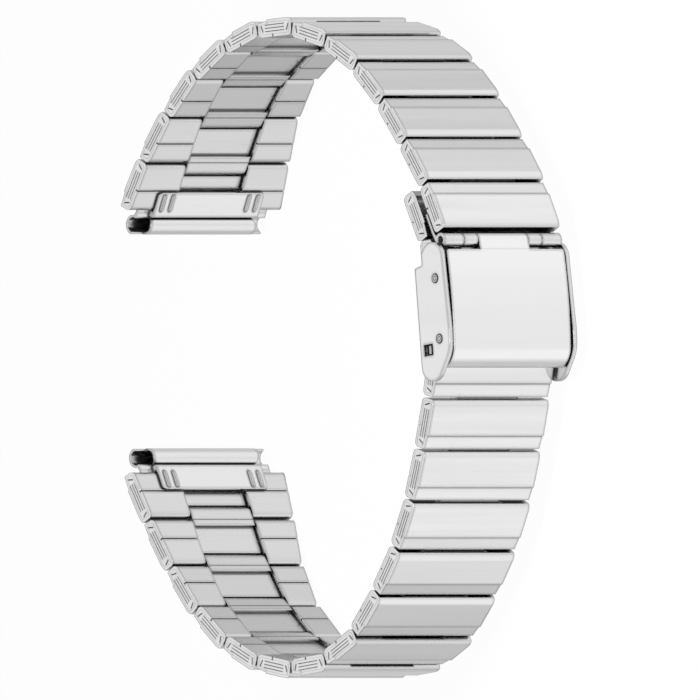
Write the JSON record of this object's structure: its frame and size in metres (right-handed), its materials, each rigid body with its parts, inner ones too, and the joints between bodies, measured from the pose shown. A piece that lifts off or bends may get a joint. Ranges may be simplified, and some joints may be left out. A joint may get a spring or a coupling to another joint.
{
  "type": "watch bracelet",
  "caption": "Metal watch bracelet of folded sheet links with flared ends, rolled spring bar ends and an adjustable fold-over clasp, closed and lying on its side.",
  "frame": {"origin": "centre of the upper spring bar bore, on the bracelet's mid-plane", "axes": "+X from the watch towards the clasp, +Y from the lower strand towards the upper one, +Z along the width; the part lies on its side"},
  "size_m": [0.0522, 0.0696, 0.021],
  "materials": {
    "link_steel": "polished",
    "bar_end_steel": "satin",
    "case_steel": "satin",
    "cover_steel": "polished",
    "arm_steel": "satin",
    "lock_steel": "satin",
    "pin_steel": "polished"
  },
  "bodies": {
    "clasp_case": {"clasp_case": "case_steel", "lower_link_15": "link_steel", "lower_link_16": "link_steel", "arm_rivets": "pin_steel", "lock_rivets": "pin_steel"},
    "folding_arm": {"folding_arm": "arm_steel"},
    "clasp_cover": {"clasp_cover": "cover_steel"},
    "lock_plate": {"lock_plate": "lock_steel"},
    "upper_link_12": {"upper_link_12": "link_steel", "strand_leaf": "arm_steel", "top_hinge_pin": "pin_steel"},
    "upper_link_11": {"upper_link_11": "link_steel"},
    "upper_link_10": {"upper_link_10": "link_steel"},
    "upper_link_09": {"upper_link_09": "link_steel"},
    "upper_link_08": {"upper_link_08": "link_steel"},
    "upper_link_07": {"upper_link_07": "link_steel"},
    "upper_link_06": {"upper_link_06": "link_steel"},
    "upper_link_05": {"upper_link_05": "link_steel"},
    "upper_link_04": {"upper_link_04": "link_steel"},
    "upper_link_03": {"upper_link_03": "link_steel"},
    "upper_link_02": {"upper_link_02": "link_steel"},
    "upper_link_01": {"upper_link_01": "link_steel", "upper_end_piece": "bar_end_steel"},
    "lower_link_14": {"lower_link_14": "link_steel"},
    "lower_link_13": {"lower_link_13": "link_steel"},
    "lower_link_12": {"lower_link_12": "link_steel"},
    "lower_link_11": {"lower_link_11": "link_steel"},
    "lower_link_10": {"lower_link_10": "link_steel"},
    "lower_link_09": {"lower_link_09": "link_steel"},
    "lower_link_08": {"lower_link_08": "link_steel"},
    "lower_link_07": {"lower_link_07": "link_steel"},
    "lower_link_06": {"lower_link_06": "link_steel"},
    "lower_link_05": {"lower_link_05": "link_steel"},
    "lower_link_04": {"lower_link_04": "link_steel"},
    "lower_link_03": {"lower_link_03": "link_steel"},
    "lower_link_02": {"lower_link_02": "link_steel"},
    "lower_link_01": {"lower_link_01": "link_steel", "lower_end_piece": "bar_end_steel"},
    "lower_link_17": {"lower_link_17": "link_steel"}
  },
  "joints": [
    {"name": "arm_hinge", "type": "hinge", "parent": "clasp_case", "child": "folding_arm", "pos_m": [0.04952, -0.01199, 0], "axis": [0, 0, 1], "range_deg": [-100, 0]},
    {"name": "cover_hinge", "type": "hinge", "parent": "folding_arm", "child": "clasp_cover", "pos_m": [0.04881, -0.00161, 0], "axis": [0, 0, 1], "range_deg": [0, 35]},
    {"name": "lock_hinge", "type": "hinge", "parent": "clasp_case", "child": "lock_plate", "pos_m": [0.04881, -0.00563, 0], "axis": [0, 0, 1], "range_deg": [0, 2.5]},
    {"name": "upper_hinge_12", "type": "hinge", "parent": "folding_arm", "child": "upper_link_12", "pos_m": [0.04881, -0.00161, 0], "axis": [0, 0, 1], "range_deg": [-20, 3]},
    {"name": "upper_hinge_11", "type": "hinge", "parent": "upper_link_12", "child": "upper_link_11", "pos_m": [0.04571, 0.0049, 0], "axis": [0, 0, 1], "range_deg": [-13.5, 11.5]},
    {"name": "upper_hinge_10", "type": "hinge", "parent": "upper_link_11", "child": "upper_link_10", "pos_m": [0.04226, 0.00931, 0], "axis": [0, 0, 1], "range_deg": [-7, 18]},
    {"name": "upper_hinge_09", "type": "hinge", "parent": "upper_link_10", "child": "upper_link_09", "pos_m": [0.03859, 0.01354, 0], "axis": [0, 0, 1], "range_deg": [-12, 13]},
    {"name": "upper_hinge_08", "type": "hinge", "parent": "upper_link_09", "child": "upper_link_08", "pos_m": [0.03436, 0.01721, 0], "axis": [0, 0, 1], "range_deg": [-18.5, 6.5]},
    {"name": "upper_hinge_07", "type": "hinge", "parent": "upper_link_08", "child": "upper_link_07", "pos_m": [0.02935, 0.01971, 0], "axis": [0, 0, 1], "range_deg": [-18, 7]},
    {"name": "upper_hinge_06", "type": "hinge", "parent": "upper_link_07", "child": "upper_link_06", "pos_m": [0.02388, 0.02092, 0], "axis": [0, 0, 1], "range_deg": [-21, 4]},
    {"name": "upper_hinge_05", "type": "hinge", "parent": "upper_link_06", "child": "upper_link_05", "pos_m": [0.0183, 0.02048, 0], "axis": [0, 0, 1], "range_deg": [-19.5, 5.5]},
    {"name": "upper_hinge_04", "type": "hinge", "parent": "upper_link_05", "child": "upper_link_04", "pos_m": [0.01304, 0.01857, 0], "axis": [0, 0, 1], "range_deg": [-18.5, 6.5]},
    {"name": "upper_hinge_03", "type": "hinge", "parent": "upper_link_04", "child": "upper_link_03", "pos_m": [0.00842, 0.0154, 0], "axis": [0, 0, 1], "range_deg": [-20.5, 4.5]},
    {"name": "upper_hinge_02", "type": "hinge", "parent": "upper_link_03", "child": "upper_link_02", "pos_m": [0.0049, 0.01104, 0], "axis": [0, 0, 1], "range_deg": [-15, 10]},
    {"name": "upper_hinge_01", "type": "hinge", "parent": "upper_link_02", "child": "upper_link_01", "pos_m": [0.00227, 0.0061, 0], "axis": [0, 0, 1], "range_deg": [-8.5, 16.5]},
    {"name": "lower_hinge_14", "type": "hinge", "parent": "clasp_case", "child": "lower_link_14", "pos_m": [0.04767, -0.01336, 0], "axis": [0, 0, 1], "range_deg": [-5, 8]},
    {"name": "lower_hinge_13", "type": "hinge", "parent": "lower_link_14", "child": "lower_link_13", "pos_m": [0.04664, -0.01886, 0], "axis": [0, 0, 1], "range_deg": [-18, 8]},
    {"name": "lower_hinge_12", "type": "hinge", "parent": "lower_link_13", "child": "lower_link_12", "pos_m": [0.04522, -0.02428, 0], "axis": [0, 0, 1], "range_deg": [-19, 7]},
    {"name": "lower_hinge_11", "type": "hinge", "parent": "lower_link_12", "child": "lower_link_11", "pos_m": [0.04353, -0.02962, 0], "axis": [0, 0, 1], "range_deg": [-14, 12]},
    {"name": "lower_hinge_10", "type": "hinge", "parent": "lower_link_11", "child": "lower_link_10", "pos_m": [0.04111, -0.03467, 0], "axis": [0, 0, 1], "range_deg": [-13, 13]},
    {"name": "lower_hinge_09", "type": "hinge", "parent": "lower_link_10", "child": "lower_link_09", "pos_m": [0.03793, -0.03928, 0], "axis": [0, 0, 1], "range_deg": [-15.5, 10.5]},
    {"name": "lower_hinge_08", "type": "hinge", "parent": "lower_link_09", "child": "lower_link_08", "pos_m": [0.03425, -0.0435, 0], "axis": [0, 0, 1], "range_deg": [-1, 25]},
    {"name": "lower_hinge_07", "type": "hinge", "parent": "lower_link_08", "child": "lower_link_07", "pos_m": [0.0293, -0.04612, 0], "axis": [0, 0, 1], "range_deg": [-1, 25]},
    {"name": "lower_hinge_06", "type": "hinge", "parent": "lower_link_07", "child": "lower_link_06", "pos_m": [0.02374, -0.04679, 0], "axis": [0, 0, 1], "range_deg": [-6.5, 19.5]},
    {"name": "lower_hinge_05", "type": "hinge", "parent": "lower_link_06", "child": "lower_link_05", "pos_m": [0.0182, -0.04596, 0], "axis": [0, 0, 1], "range_deg": [-7, 19]},
    {"name": "lower_hinge_04", "type": "hinge", "parent": "lower_link_05", "child": "lower_link_04", "pos_m": [0.01307, -0.04372, 0], "axis": [0, 0, 1], "range_deg": [-6, 20]},
    {"name": "lower_hinge_03", "type": "hinge", "parent": "lower_link_04", "child": "lower_link_03", "pos_m": [0.00876, -0.04015, 0], "axis": [0, 0, 1], "range_deg": [-7, 19]},
    {"name": "lower_hinge_02", "type": "hinge", "parent": "lower_link_03", "child": "lower_link_02", "pos_m": [0.00551, -0.03558, 0], "axis": [0, 0, 1], "range_deg": [-13, 13]},
    {"name": "lower_hinge_01", "type": "hinge", "parent": "lower_link_02", "child": "lower_link_01", "pos_m": [0.00302, -0.03057, 0], "axis": [0, 0, 1], "range_deg": [-21.5, 4.5]},
    {"name": "lower_hinge_17", "type": "hinge", "parent": "clasp_case", "child": "lower_link_17", "pos_m": [0.04642, -0.00223, 0], "axis": [0, 0, 1], "range_deg": [0, 8]}
  ],
  "couplings": [
    {"joint": "cover_hinge", "follows": "arm_hinge", "ratio": -0.35}
  ]
}
